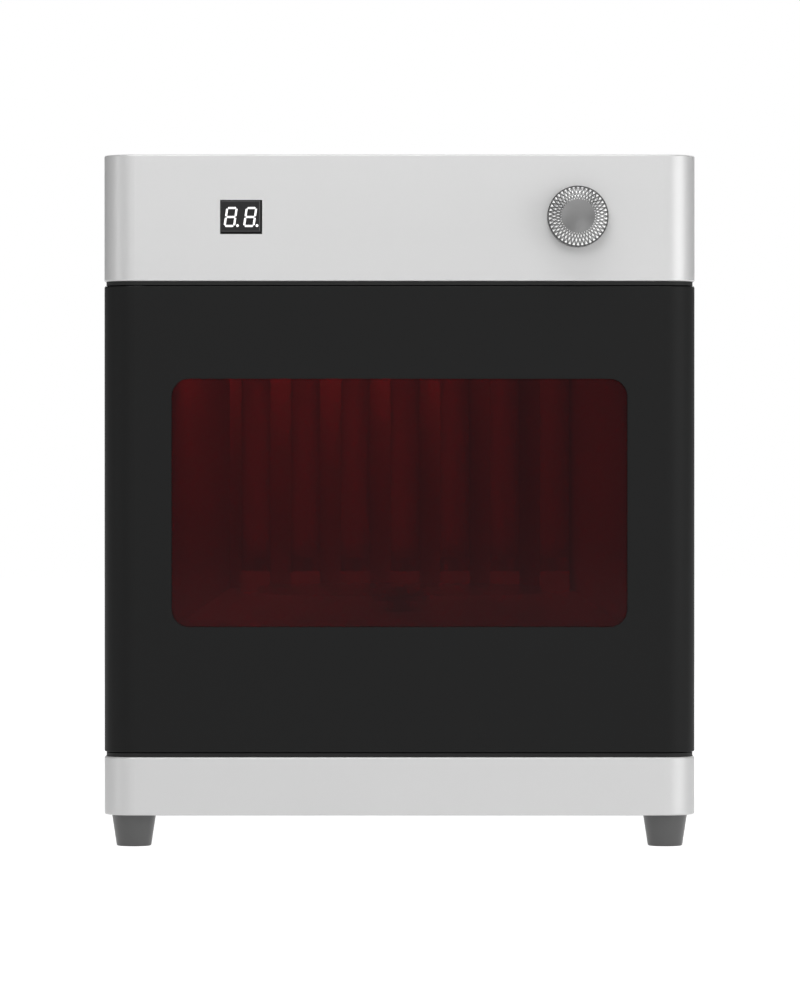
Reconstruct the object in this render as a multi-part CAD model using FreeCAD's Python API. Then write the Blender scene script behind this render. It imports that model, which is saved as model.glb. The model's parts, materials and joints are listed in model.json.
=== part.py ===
import FreeCAD, Part
import math
import os

# UV curing chamber, in millimetres. The front faces -Y, +X is to the right seen from the front
# and +Z is up.
# The origin is on the table, under the middle of the whole object.

# Body bands
body_width = 300.0
body_depth = 300.0
corner_radius = 16.0
base_height = 29.5
door_height = 236.0
top_height = 64.0
band_wall = 2.0
edge_round = 0.8
deck_thickness = 2.0
deck_inset = 1.0
door_gap = 0.5
slip = 0.1
weld = 1.0

# Feet
foot_height = 16.0
foot_top_radius = 11.2
foot_bottom_radius = 8.75
foot_round = 0.8
foot_inset = 15.0
foot_recess_radius = 4.6
foot_recess_depth = 8.0
foot_boss_radius = 5.5
foot_boss_height = 10.0
foot_screw_radius = 2.0
foot_screw_length = 18.0
foot_screw_head_radius = 3.9
foot_screw_head_height = 2.6

# Housing screws and the tabs they bite in
screw_radius = 1.5
screw_head_radius = 2.8
screw_head_height = 2.0
screw_length = 8.0
socket_share = 0.5
tab_width = 16.0
tab_height = 12.0
tab_thickness = 2.0
tab_inset = 40.0

# Door
door_depth = 25.0
door_wall = 2.5
door_return = 6.0
door_round = 0.6
cover_thickness = 1.5
cover_inset = 3.2
hinge_pin_radius = 3.0
hinge_pin_head_radius = 5.0
hinge_pin_head_height = 1.5
hinge_pin_reach = 12.0
running_gap = 0.05
bush_radius = 5.0
bush_flange_radius = 6.5
bush_flange_height = 0.8
hinge_boss_radius = 7.3
pocket_clearance = 0.41

# Window
window_side_margin = 34.65
window_low_margin = 63.5
window_top_margin = 46.9
window_radius = 9.0
window_gap = 0.25
window_recess = 0.3
window_flange = 10.0
window_thickness = 3.0
tunnel_margin = 1.0
tunnel_radius = 3.0
tunnel_wall = 2.0
tunnel_flange = 3.0

# Carrying frame
post_width = 30.0
post_depth = 23.5
post_wall = 2.5
seam_gap = 1.1
lip_clearance = 0.5
seal_gap = 0.3
seal_thickness = 1.2
seal_width = 5.0
seal_offset = 3.0
frame_thickness = 2.0
panel_thickness = 2.0
frame_top_land = 12.5
scoop_radius = 14.0
scoop_outset = 6.0
scoop_setback = 4.0
scoop_length = 80.0
vent_width = 3.0
vent_height = 32.0
vent_pitch = 8.0
vent_count = 9
vent_rise = 30.0
side_vent_setback = 92.0

# Reflector liner of the chamber
liner_thickness = 1.2
liner_margin = 2.65
liner_depth = 205.0
liner_side_draft = 25.5
liner_floor_draft = 17.6
liner_drop = 2.5
ceiling_gap = 5.5

# Lamps
lamp_count = 7
lamp_shift = 3.0
lamp_end_gap = 0.5
lamp_radius = 7.75
lamp_wall = 0.8
lamp_cap_radius = 8.0
lamp_cap_length = 7.3
lamp_standoff = 14.0
lower_socket_height = 9.4
upper_socket_height = 7.0
lamp_socket_width = 16.0
lamp_socket_depth = 17.0

# Turntable
platter_radius = 75.0
platter_thickness = 4.0
platter_setback = 95.0
platter_clearance = 17.0
hub_flange_radius = 14.0
hub_flange_height = 4.0
hub_stem_radius = 6.0
hub_boss_radius = 4.0
drive_pin_radius = 3.0
drive_pin_length = 8.0
floor_hole_radius = 8.0
motor_radius = 25.0
motor_height = 20.0
motor_boss_radius = 8.0
motor_boss_height = 1.7
motor_drop = 22.0
thrust_gap = 0.3
bracket_width = 70.0
bracket_depth = 52.0
bracket_sheet = 2.0
bracket_foot = 12.0

# Power parts
supply_width = 88.0
supply_depth = 100.0
supply_height = 35.0
supply_inset = 18.0
supply_setback = 156.0
supply_round = 2.0
ballast_length = 150.0
ballast_depth = 32.0
ballast_height = 20.0
ballast_setback = 88.0
ballast_pitch = 80.0
ballast_count = 2
ballast_round = 3.0

# Control panel
display_inset = 69.9
display_width = 21.0
display_height = 17.0
display_recess = 0.6
display_gap = 0.15
panel_level = 32.4
board_gap = 8.0
board_thickness = 1.6
board_margin = 20.0
board_height = 42.0
board_boss_radius = 3.0
board_boss_inset = 5.0
sensor_width = 20.0
sensor_height = 8.0
sensor_depth = 8.0
sensor_inset = 50.0
sensor_drop = 14.0

# Knob and encoder
knob_inset = 60.0
knob_radius = 15.4
knob_crown_radius = 14.7
knob_dish_radius = 8.6
knob_collar_length = 9.0
knob_crown_height = 4.0
knob_dish_depth = 1.6
knob_shadow_gap = 0.8
knob_wall = 1.8
knob_cavity_depth = 5.0
knob_lip = 0.3
shaft_radius = 3.0
shaft_engagement = 4.5
encoder_width = 12.4
encoder_bush_radius = 3.5
encoder_bush_length = 4.0
encoder_nut_width = 10.0
encoder_nut_height = 2.0
encoder_front_wall = 1.6
encoder_rotor_radius = 5.0
encoder_rotor_length = 2.0
encoder_rotor_gap = 0.3
encoder_end_gap = 1.0
shaft_tail = 1.0

# Fan
fan_size = 50.0
fan_depth = 15.0
fan_bore_radius = 23.5
fan_blade_radius = 22.6
fan_hub_radius = 11.0
fan_hub_length = 9.0
fan_hub_wall = 1.5
fan_blade_count = 7
fan_blade_width = 9.0
fan_blade_thickness = 1.2
fan_blade_angle = 38.0
fan_shaft_radius = 1.5
fan_strut_count = 3
fan_strut_width = 4.0
fan_strut_depth = 3.0
fan_screw_pitch = 40.0
fan_corner_radius = 4.0
fan_inset = 75.0
guard_wire_radius = 0.8
guard_ring_radii = [9.0, 15.5, 22.0]
guard_eye_radius = 2.6
guard_bar_lift = 2.0
guard_ring_lift = 3.2
guard_bar_angle = 45.0

# Magnets and strike plates
magnet_radius = 5.0
magnet_inset = 22.0
magnet_margin = 28.0
strike_radius = 6.0
strike_thickness = 1.0

# Mains inlet
inlet_inset = 55.0
inlet_rise = 43.0
inlet_flange_width = 50.0
inlet_flange_height = 64.0
inlet_flange_thickness = 2.5
inlet_flange_radius = 4.0
inlet_body_width = 28.0
inlet_body_height = 58.0
inlet_body_depth = 28.0
socket_width = 24.0
socket_height = 16.4
socket_depth = 15.0
socket_bevel = 4.5
socket_lift = 0.5
blade_pitch = 7.0
blade_thickness = 2.0
blade_height = 4.0
blade_length = 12.0
blade_drop = 1.8
earth_lift = 2.0
rocker_lift = 20.0
rocker_width = 20.4
rocker_half_height = 5.9
rocker_rise = 1.9
rocker_waist = 1.1
rocker_root = 3.0
rocker_taper = 1.2
rocker_tilt = 10.0
rocker_slot_width = 21.0
rocker_slot_height = 13.4
rocker_slot_depth = 12.0
rocker_pivot_depth = 0.6
rocker_trunnion_radius = 1.2
rocker_trunnion_length = 1.8
drawer_drop = 17.0
drawer_width = 21.4
drawer_height = 8.4
drawer_length = 18.0
drawer_gap = 0.3
drawer_slot_depth = 20.0
drawer_lip_height = 2.0
drawer_lip_reach = 1.0

# Levels worked out from the bands
base_z = foot_height
lower_deck_z = base_z + base_height
middle_z = lower_deck_z + deck_thickness
door_z = middle_z + door_gap
door_top = door_z + door_height
upper_deck_z = door_top + door_gap
top_z = upper_deck_z + deck_thickness
body_top = top_z + top_height

# Planes worked out from the footprint: the knob reaches out in front and the fan guard behind
knob_reach = knob_shadow_gap + knob_collar_length + knob_crown_height
rear_reach = guard_ring_lift + guard_wire_radius
half_width = body_width / 2
front_y = (knob_reach - rear_reach - body_depth) / 2
back_y = front_y + body_depth
tangent_y = front_y + corner_radius
hinge_x = corner_radius - half_width
hinge_y = tangent_y
pocket_radius = math.hypot(corner_radius, door_return) + pocket_clearance
return_y = tangent_y + door_return
door_back_y = front_y + door_depth
seal_y = door_back_y + seal_gap
frame_y = seal_y + seal_thickness
frame_back_y = frame_y + frame_thickness
post_back_y = frame_y + post_depth
post_inner_x = half_width - post_width
bore_radius = hinge_pin_radius + running_gap

window_half = half_width - window_side_margin
window_low = door_z + window_low_margin
window_top = door_top - window_top_margin

liner_front_half = window_half + liner_margin
liner_back_half = liner_front_half - liner_side_draft
liner_back_y = frame_back_y + liner_depth
floor_front_z = window_low - liner_drop
floor_back_z = floor_front_z + liner_floor_draft
ceiling_z = upper_deck_z - ceiling_gap
frame_opening_top = upper_deck_z - frame_top_land

lamp_y = liner_back_y - lamp_standoff
lamp_low = floor_back_z + lower_socket_height
lamp_top = ceiling_z - upper_socket_height
lamp_row = 2 * (liner_back_half - lamp_shift - lamp_end_gap) - lamp_socket_width
lamp_pitch = lamp_row / (lamp_count - 1)

platter_y = frame_back_y + platter_setback
platter_z = floor_front_z + platter_clearance
hub_z = platter_z - hub_flange_height
motor_top = hub_z - motor_drop + hub_flange_height
stem_z = motor_top + motor_boss_height + thrust_gap

control_z = top_z + panel_level
display_x = display_inset - half_width
knob_x = half_width - knob_inset
panel_back_y = front_y + band_wall
board_y = panel_back_y + board_gap

fan_x = fan_inset - half_width
fan_z = top_z + (top_height - band_wall) / 2
inlet_x = half_width - inlet_inset
inlet_z = middle_z + inlet_rise
flange_back_y = back_y + inlet_flange_thickness

Vector = FreeCAD.Vector
AXES = {"x": Vector(1, 0, 0), "y": Vector(0, 1, 0), "z": Vector(0, 0, 1)}
touching = 1e-6
full_turn = 360.0


def spot(axis, across, up, along):
    """Point at a place across and up on a plane square to the axis, and along that axis."""
    if axis == "z":
        return Vector(across, up, along)
    if axis == "y":
        return Vector(across, along, up)
    return Vector(along, across, up)


def box(x0, x1, y0, y1, z0, z1):
    return Part.makeBox(x1 - x0, y1 - y0, z1 - z0, Vector(x0, y0, z0))


def rod(axis, across, up, radius, low, high):
    return Part.makeCylinder(radius, high - low, spot(axis, across, up, low), AXES[axis])


def rectangle(across_low, across_high, up_low, up_high):
    return [(across_low, up_low), (across_high, up_low), (across_high, up_high), (across_low, up_high)]


def outline(axis, corners, radii, along):
    """Closed wire through the corners, each rounded by its own radius, on a plane square to the axis."""
    points = [spot(axis, across, up, along) for across, up in corners]
    bends = []
    for index, point in enumerate(points):
        radius = radii[index]
        if radius == 0:
            bends.append((point, point, point))
            continue
        back = (points[index - 1] - point).normalize()
        ahead = (points[(index + 1) % len(points)] - point).normalize()
        half = back.getAngle(ahead) / 2
        reach = radius / math.tan(half)
        middle = (back + ahead).normalize()
        centre = point + middle * (radius / math.sin(half))
        bends.append((point + back * reach, centre - middle * radius, point + ahead * reach))
    edges = []
    for index, (start, middle, end) in enumerate(bends):
        if start.distanceToPoint(end) > touching:
            edges.append(Part.Arc(start, middle, end).toShape())
        following = bends[(index + 1) % len(bends)][0]
        if end.distanceToPoint(following) > touching:
            edges.append(Part.LineSegment(end, following).toShape())
    return Part.Wire(edges)


def prism(axis, corners, radii, low, high):
    """Straight solid on an outline, from one place along the axis to another."""
    if not isinstance(radii, list):
        radii = [radii] * len(corners)
    face = Part.Face(outline(axis, corners, radii, low))
    return face.extrude(AXES[axis] * (high - low))


def turned(axis, across, up, profile):
    """Solid turned about the axis from a closed profile of (radius, along) points."""
    points = [spot(axis, across + radius, up, along) for radius, along in profile]
    face = Part.Face(Part.makePolygon(points + points[:1]))
    return face.revolve(spot(axis, across, up, 0), AXES[axis], full_turn)


def slab(corners, direction, thickness):
    """Flat plate on four corners in space, thickened along a direction."""
    face = Part.Face(Part.makePolygon(corners + corners[:1]))
    return face.extrude(direction.normalize() * thickness)


def level_edges(shape, level):
    """Edges that lie flat at one height."""
    edges = []
    for edge in shape.Edges:
        bounds = edge.BoundBox
        if abs(bounds.ZMin - level) < touching and abs(bounds.ZMax - level) < touching:
            edges.append(edge)
    return edges


def joined(first, others):
    return first.fuse(others).removeSplitter()


def group(solids):
    return Part.makeCompound(solids)


def mirrored(shape):
    return shape.mirror(Vector(0, 0, 0), AXES["x"])


def hexagon(across, up, flat_width):
    """Corners of a hexagon with a given width across its flats."""
    radius = flat_width / 2 / math.cos(math.pi / 6)
    turns = [math.pi / 3 * step for step in range(6)]
    return [(across + radius * math.cos(turn), up + radius * math.sin(turn)) for turn in turns]


def screw(axis, across, up, seat, heading, radius, length, head_radius, head_height):
    """Socket screw: its head lies on the seat and its shank runs on from there, towards +1 or -1."""
    tip = seat + heading * length
    crown = seat - heading * head_height
    profile = [(0, tip), (radius, tip), (radius, seat), (head_radius, seat),
               (head_radius, crown), (0, crown)]
    socket_end = crown + heading * head_height * socket_share
    socket = prism(axis, hexagon(across, up, head_radius), 0, crown, socket_end)
    return turned(axis, across, up, profile).cut(socket)


def housing_screw(across, up, seat):
    return screw("y", across, up, seat, -1, screw_radius, screw_length,
                 screw_head_radius, screw_head_height)


def save(name, shape):
    shape.exportStep("parts/%s.step" % name)


def band(z0, z1, inset, radius):
    """Full footprint of the body between two heights, drawn in from its sides."""
    corners = rectangle(inset - half_width, half_width - inset, front_y + inset, back_y - inset)
    return prism("z", corners, radius, z0, z1)


def rounded_band(z0, z1):
    solid = band(z0, z1, 0, corner_radius)
    return solid.makeFillet(edge_round, level_edges(solid, z0) + level_edges(solid, z1))


def screw_places():
    """Where the housing screws stand: across, height and the wall they hold."""
    half_tab = tab_height / 2
    levels = [lower_deck_z - half_tab, middle_z + half_tab, upper_deck_z - half_tab, top_z + half_tab]
    return [(side * (half_width - tab_inset), level) for side in (-1, 1) for level in levels]


def screw_holes(low, high):
    radius = screw_radius + slip
    return [rod("y", across, up, radius, low, high) for across, up in screw_places()]


def fan_screw_places():
    reach = fan_screw_pitch / 2
    return [(fan_x + a * reach, fan_z + b * reach) for a in (-1, 1) for b in (-1, 1)]


def slot_row(axis, first, up, low, high):
    """Row of upright vent slots."""
    slots = []
    for index in range(vent_count):
        across = first + index * vent_pitch
        corners = rectangle(across - vent_width / 2, across + vent_width / 2, up, up + vent_height)
        slots.append(prism(axis, corners, vent_width / 2, low, high))
    return slots


# Base, feet and decks
def foot_places():
    across = half_width - foot_inset
    return {
        "front_left": (-across, front_y + foot_inset),
        "front_right": (across, front_y + foot_inset),
        "rear_left": (-across, back_y - foot_inset),
        "rear_right": (across, back_y - foot_inset),
    }


def make_feet():
    screws = []
    for name, (x, y) in foot_places().items():
        foot = Part.makeCone(foot_bottom_radius, foot_top_radius, foot_height, Vector(x, y, 0))
        foot = foot.makeFillet(foot_round, level_edges(foot, 0))
        foot = foot.cut(rod("z", x, y, foot_recess_radius, 0, foot_recess_depth))
        foot = foot.cut(rod("z", x, y, foot_screw_radius + slip, foot_recess_depth, foot_height))
        save("foot_" + name, foot)
        screws.append(
            screw("z", x, y, foot_recess_depth, 1, foot_screw_radius, foot_screw_length,
                  foot_screw_head_radius, foot_screw_head_height)
        )
    save("foot_screws", group(screws))


def make_base_tray():
    tray = rounded_band(base_z, lower_deck_z)
    tray = tray.cut(band(base_z + band_wall, lower_deck_z, band_wall, corner_radius - band_wall))
    floor_z = base_z + band_wall
    bosses = [rod("z", x, y, foot_boss_radius, floor_z - weld, floor_z + foot_boss_height)
              for x, y in foot_places().values()]
    tray = joined(tray, bosses)
    bores = [rod("z", x, y, foot_screw_radius + slip, base_z, floor_z + foot_boss_height)
             for x, y in foot_places().values()]
    save("base_tray", tray.cut(bores + screw_holes(back_y - band_wall, back_y)))


def make_deck(name, deck_z):
    """Dark plate between two bands, with tabs up and down for the rear screws."""
    plate = band(deck_z, deck_z + deck_thickness, deck_inset, corner_radius - deck_inset)
    tab_back = back_y - band_wall
    tabs = []
    for side in (-1, 1):
        across = side * (half_width - tab_inset)
        tabs.append(
            box(across - tab_width / 2, across + tab_width / 2, tab_back - tab_thickness, tab_back,
                deck_z - tab_height, deck_z + deck_thickness + tab_height)
        )
    plate = joined(plate, tabs)
    holes = screw_holes(tab_back - tab_thickness, tab_back)
    holes.append(rod("z", hinge_x, hinge_y, bore_radius, deck_z, deck_z + deck_thickness))
    save(name, plate.cut(holes))


# Top housing
def make_top_housing():
    housing = rounded_band(top_z, body_top)
    housing = housing.cut(band(top_z, body_top - band_wall, band_wall, corner_radius - band_wall))
    bosses = [rod("y", across, up, board_boss_radius, panel_back_y - weld, board_y)
              for across, up in board_boss_places()]
    housing = joined(housing, bosses)
    reach_x = display_width / 2 + display_gap
    reach_z = display_height / 2 + display_gap
    cuts = [
        box(display_x - reach_x, display_x + reach_x, front_y, panel_back_y,
            control_z - reach_z, control_z + reach_z),
        rod("y", knob_x, control_z, encoder_bush_radius + slip, front_y, panel_back_y),
        rod("y", fan_x, fan_z, fan_bore_radius, back_y - band_wall, back_y),
    ]
    for across, up in fan_screw_places():
        cuts.append(rod("y", across, up, screw_radius + slip, back_y - band_wall, back_y))
    save("top_housing", housing.cut(cuts + screw_holes(back_y - band_wall, back_y)))


# Control panel parts
def board_edges():
    return (display_x - board_margin, knob_x + board_margin)


def board_boss_places():
    low_x, high_x = board_edges()
    reach = board_height / 2 - board_boss_inset
    return [(x, control_z + side * reach)
            for x in (low_x + board_boss_inset, high_x - board_boss_inset) for side in (-1, 1)]


def make_control_parts():
    low_x, high_x = board_edges()
    half = board_height / 2
    corners = rectangle(low_x, high_x, control_z - half, control_z + half)
    save("control_board", prism("y", corners, board_boss_inset / 2, board_y, board_y + board_thickness))
    half_x = display_width / 2
    half_z = display_height / 2
    save("display_module", box(display_x - half_x, display_x + half_x,
                               front_y + display_recess, board_y,
                               control_z - half_z, control_z + half_z))


def make_encoder():
    """Encoder behind the panel: its body and bush, the nut, the turning disc and the sliding shaft."""
    half = encoder_width / 2
    bore = shaft_radius + running_gap
    bush_end = front_y - encoder_bush_length
    body = box(knob_x - half, knob_x + half, panel_back_y, board_y, control_z - half, control_z + half)
    bush = rod("y", knob_x, control_z, encoder_bush_radius, bush_end, panel_back_y + weld)
    body = joined(body, [bush])
    disc_y = panel_back_y + encoder_front_wall + encoder_rotor_gap
    disc_end = disc_y + encoder_rotor_length
    tail_y = disc_end + encoder_rotor_gap + shaft_tail
    body = body.cut([
        rod("y", knob_x, control_z, bore, bush_end, disc_y),
        rod("y", knob_x, control_z, encoder_rotor_radius + encoder_rotor_gap,
            disc_y - encoder_rotor_gap, disc_end + encoder_rotor_gap),
        rod("y", knob_x, control_z, bore, disc_end, tail_y + encoder_end_gap),
    ])
    save("encoder_body", body)
    nut_y = front_y - encoder_nut_height
    nut = prism("y", hexagon(knob_x, control_z, encoder_nut_width), 0, nut_y, front_y)
    thread = rod("y", knob_x, control_z, encoder_bush_radius + running_gap, nut_y, front_y)
    save("encoder_nut", nut.cut(thread))
    disc = rod("y", knob_x, control_z, encoder_rotor_radius, disc_y, disc_end)
    save("encoder_rotor", disc.cut(rod("y", knob_x, control_z, bore, disc_y, disc_end)))
    shaft_end = front_y - knob_shadow_gap - knob_cavity_depth - shaft_engagement
    save("encoder_shaft", rod("y", knob_x, control_z, shaft_radius, shaft_end, tail_y))


def make_knob():
    """Round knob: smooth collar, sloping crown and dished face, hollow behind to clear the nut."""
    foot = front_y - knob_shadow_gap
    shoulder = foot - knob_collar_length
    crown = shoulder - knob_crown_height
    cavity_end = foot - knob_cavity_depth
    cavity_radius = knob_radius - knob_wall
    ball_radius = (knob_dish_radius ** 2 + knob_dish_depth ** 2) / (2 * knob_dish_depth)
    ball_y = crown + knob_dish_depth - ball_radius
    halfway = math.asin(knob_dish_radius / ball_radius) / 2
    middle = Vector(math.sin(halfway), math.cos(halfway), 0) * ball_radius
    rim = [Vector(knob_x + knob_dish_radius, crown, control_z),
           Vector(knob_x, ball_y, control_z) + middle,
           Vector(knob_x, crown + knob_dish_depth, control_z)]
    points = [(0, cavity_end), (cavity_radius, cavity_end), (cavity_radius, foot), (knob_radius, foot),
              (knob_radius, shoulder + knob_lip), (knob_crown_radius, shoulder), (knob_dish_radius, crown)]
    spots = [spot("y", knob_x + radius, control_z, along) for radius, along in points]
    edges = [Part.LineSegment(a, b).toShape() for a, b in zip(spots, spots[1:])]
    edges.append(Part.Arc(rim[0], rim[1], rim[2]).toShape())
    edges.append(Part.LineSegment(rim[2], spots[0]).toShape())
    knob = Part.Face(Part.Wire(edges)).revolve(Vector(knob_x, 0, control_z), AXES["y"], full_turn)
    bore = rod("y", knob_x, control_z, shaft_radius, cavity_end - shaft_engagement, cavity_end)
    save("knob", knob.cut(bore))


# Door
def door_outline(inset, end_y):
    """Front part of the footprint, drawn in from its sides, open at the back."""
    corners = rectangle(inset - half_width, half_width - inset, front_y + inset, end_y)
    return corners, [corner_radius - inset, corner_radius - inset, 0, 0]


def window_outline(grow):
    reach = window_half + grow
    return rectangle(-reach, reach, window_low - grow, window_top + grow), window_radius + grow


def tunnel_outline(grow):
    """Passage behind the pane, a little larger than the window and with tighter corners."""
    corners, _ = window_outline(tunnel_margin + grow)
    return corners, tunnel_radius + grow


def make_door():
    corners, radii = door_outline(0, return_y)
    shell = prism("z", corners, radii, door_z, door_top)
    rims = [edge for edge in level_edges(shell, door_z) + level_edges(shell, door_top)
            if edge.BoundBox.YMin < return_y - touching]
    shell = shell.makeFillet(door_round, rims)
    cover_half = half_width - cover_inset
    cover_y = door_back_y - cover_thickness
    corners, radii = door_outline(door_wall, return_y + weld)
    hollow = prism("z", corners, radii, door_z + door_wall, door_top - door_wall)
    strips = [box(-cover_half, cover_half, return_y - weld, cover_y, z, z + door_wall)
              for z in (door_z, door_top - door_wall)]
    shell = joined(shell.cut(hollow), strips)
    reach = hinge_pin_reach + door_wall
    bosses = [rod("z", hinge_x, hinge_y, hinge_boss_radius, door_z + weld, door_z + reach),
              rod("z", hinge_x, hinge_y, hinge_boss_radius, door_top - reach, door_top - weld)]
    shell = joined(shell, bosses)
    corners, radius = window_outline(0)
    cuts = [prism("y", corners, radius, front_y, front_y + door_wall)]
    cuts.append(rod("z", hinge_x, hinge_y, bush_radius, door_z, door_z + reach))
    cuts.append(rod("z", hinge_x, hinge_y, bush_radius, door_top - reach, door_top))
    cuts.append(rod("z", hinge_x, hinge_y, bush_flange_radius, door_z, door_z + bush_flange_height))
    cuts.append(rod("z", hinge_x, hinge_y, bush_flange_radius, door_top - bush_flange_height, door_top))
    save("door_shell", shell.cut(cuts))

    bushes = []
    for foot, heading in ((door_z, 1), (door_top, -1)):
        end = foot + heading * reach
        flange = foot + heading * bush_flange_height
        profile = [(bore_radius, foot), (bush_flange_radius, foot), (bush_flange_radius, flange),
                   (bush_radius, flange), (bush_radius, end), (bore_radius, end)]
        bushes.append(turned("z", hinge_x, hinge_y, profile))
    save("hinge_bushes", group(bushes))

    cover = prism("y", rectangle(-cover_half, cover_half, door_z, door_top), 0, cover_y, door_back_y)
    corners, radius = tunnel_outline(0)
    save("door_inner_cover", cover.cut(prism("y", corners, radius, cover_y, door_back_y)))


def make_window():
    """Red acrylic pane: a raised middle that fills the cut-out and a flange behind the door wall."""
    corners, radius = window_outline(-window_gap)
    flange_y = front_y + door_wall
    pane_back = flange_y + window_thickness
    pane = prism("y", corners, radius, front_y + window_recess, pane_back)
    corners, radius = window_outline(window_flange)
    save("door_window", joined(pane, [prism("y", corners, radius, flange_y, pane_back)]))
    collar = prism("y", corners, radius, pane_back, pane_back + tunnel_flange)
    corners, radius = tunnel_outline(tunnel_wall)
    tunnel_end = door_back_y - cover_thickness
    collar = joined(collar, [prism("y", corners, radius, pane_back, tunnel_end)])
    corners, radius = tunnel_outline(0)
    save("window_frame", collar.cut(prism("y", corners, radius, pane_back, tunnel_end)))


def magnet_places():
    across = half_width - magnet_inset
    return [(across, door_z + magnet_margin), (across, door_top - magnet_margin)]


def make_catches():
    magnets = [rod("y", x, z, magnet_radius, frame_y, frame_y + post_wall) for x, z in magnet_places()]
    save("catch_magnets", group(magnets))
    disc_end = door_back_y + strike_thickness
    discs = [rod("y", x, z, strike_radius, door_back_y, disc_end) for x, z in magnet_places()]
    sensor_x = half_width - sensor_inset
    sensor_z = floor_front_z - sensor_drop
    discs.append(rod("y", sensor_x, sensor_z, strike_radius / 2, door_back_y, disc_end))
    save("strike_plates", group(discs))
    half = sensor_height / 2
    save("door_sensor", box(sensor_x - sensor_width / 2, sensor_x + sensor_width / 2,
                            frame_back_y, frame_back_y + sensor_depth, sensor_z - half, sensor_z + half))


def make_hinge_pins():
    """Headed pins held in the two deck plates, with a thin collar that carries the door."""
    collar = door_gap - slip
    pins = []
    for deck_face, heading in ((middle_z, 1), (upper_deck_z, -1)):
        far_face = deck_face - heading * deck_thickness
        head = far_face - heading * hinge_pin_head_height
        top = deck_face + heading * collar
        tip = deck_face + heading * (door_gap + hinge_pin_reach)
        profile = [(0, head), (hinge_pin_head_radius, head), (hinge_pin_head_radius, far_face),
                   (hinge_pin_radius, far_face), (hinge_pin_radius, deck_face), (bush_radius, deck_face),
                   (bush_radius, top), (hinge_pin_radius, top), (hinge_pin_radius, tip), (0, tip)]
        pins.append(turned("z", hinge_x, hinge_y, profile))
    save("hinge_pins", group(pins))


# Carrying frame
def make_posts():
    """Hinge post with its round pocket for the turning door edge, and latch post with its finger scoop."""
    post = box(-half_width, -post_inner_x, hinge_y, post_back_y, middle_z, upper_deck_z)
    post = post.cut(rod("z", hinge_x, hinge_y, pocket_radius, middle_z, upper_deck_z))
    hollow = box(post_wall - half_width, -post_inner_x - post_wall, hinge_y + pocket_radius + post_wall,
                 post_back_y - post_wall, middle_z, upper_deck_z)
    save("hinge_post", post.cut(hollow))

    post = box(post_inner_x, half_width, frame_y, post_back_y, middle_z, upper_deck_z)
    lip_x = half_width - cover_inset + lip_clearance
    lip = box(lip_x, half_width, return_y + seam_gap, frame_y + weld, middle_z, upper_deck_z)
    post = joined(post, [lip])
    scoop_x = half_width + scoop_outset
    scoop_y = frame_y + scoop_setback
    middle = (door_z + door_top) / 2
    scoop_low = middle - scoop_length / 2
    scoop_high = middle + scoop_length / 2
    scoop = rod("z", scoop_x, scoop_y, scoop_radius, scoop_low, scoop_high)
    balls = [Part.makeSphere(scoop_radius, Vector(scoop_x, scoop_y, z)) for z in (scoop_low, scoop_high)]
    hollow_x = scoop_x - scoop_radius - post_wall
    hollow = box(post_inner_x + post_wall, hollow_x, frame_y + post_wall, post_back_y - post_wall,
                 middle_z, upper_deck_z)
    seats = [rod("y", x, z, magnet_radius, frame_y, frame_y + post_wall) for x, z in magnet_places()]
    save("latch_post", post.cut([joined(scoop, balls), hollow] + seats))


def make_front_frame():
    opening = rectangle(-liner_front_half, liner_front_half, floor_front_z, frame_opening_top)
    frame = box(-post_inner_x, post_inner_x, frame_y, frame_back_y, middle_z, upper_deck_z)
    save("front_frame", frame.cut(prism("y", opening, 0, frame_y, frame_back_y)))
    low = floor_front_z - seal_offset
    high = frame_opening_top + seal_offset
    outer_x = post_inner_x - slip
    inner_x = outer_x - seal_width / 2
    seal_outer = rectangle(-outer_x, outer_x, low - seal_width, high + seal_width)
    seal_inner = rectangle(-liner_front_half - slip, liner_front_half + slip, low, high)
    ring = prism("y", seal_outer, 0, seal_y, frame_y)
    save("frame_gasket", ring.cut(prism("y", seal_inner, 0, seal_y, frame_y)))


def make_side_panels():
    low_y = post_back_y
    high_y = back_y - corner_radius
    panel = box(-half_width, panel_thickness - half_width, low_y, high_y, middle_z, upper_deck_z)
    row = slot_row("x", high_y - side_vent_setback, middle_z + vent_rise / 2, -half_width,
                   panel_thickness - half_width)
    panel = panel.cut(row)
    save("side_panel_left", panel)
    save("side_panel_right", mirrored(panel))


def make_rear_panel():
    """Back sheet with both rear corners bent round, the inlet cut-out and two rows of vents."""
    start_y = back_y - corner_radius
    outer = prism("z", rectangle(-half_width, half_width, start_y, back_y),
                  [0, 0, corner_radius, corner_radius], middle_z, upper_deck_z)
    wall = panel_thickness
    bend = corner_radius - wall
    inner = prism("z", rectangle(wall - half_width, half_width - wall, start_y - weld, back_y - wall),
                  [0, 0, bend, bend], middle_z, upper_deck_z)
    panel = outer.cut(inner)
    half_x = inlet_body_width / 2 + drawer_gap / 2
    half_z = inlet_body_height / 2 + drawer_gap / 2
    cuts = [box(inlet_x - half_x, inlet_x + half_x, back_y - wall, back_y,
                inlet_z - half_z, inlet_z + half_z)]
    first = -(vent_count - 1) * vent_pitch / 2
    for offset in (-vent_count * vent_pitch, 0.0):
        for rise in (vent_rise, door_height - vent_rise - vent_height):
            cuts += slot_row("y", first + offset, middle_z + rise, back_y - wall, back_y)
    save("rear_panel", panel.cut(cuts + screw_holes(back_y - wall, back_y)))


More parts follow.
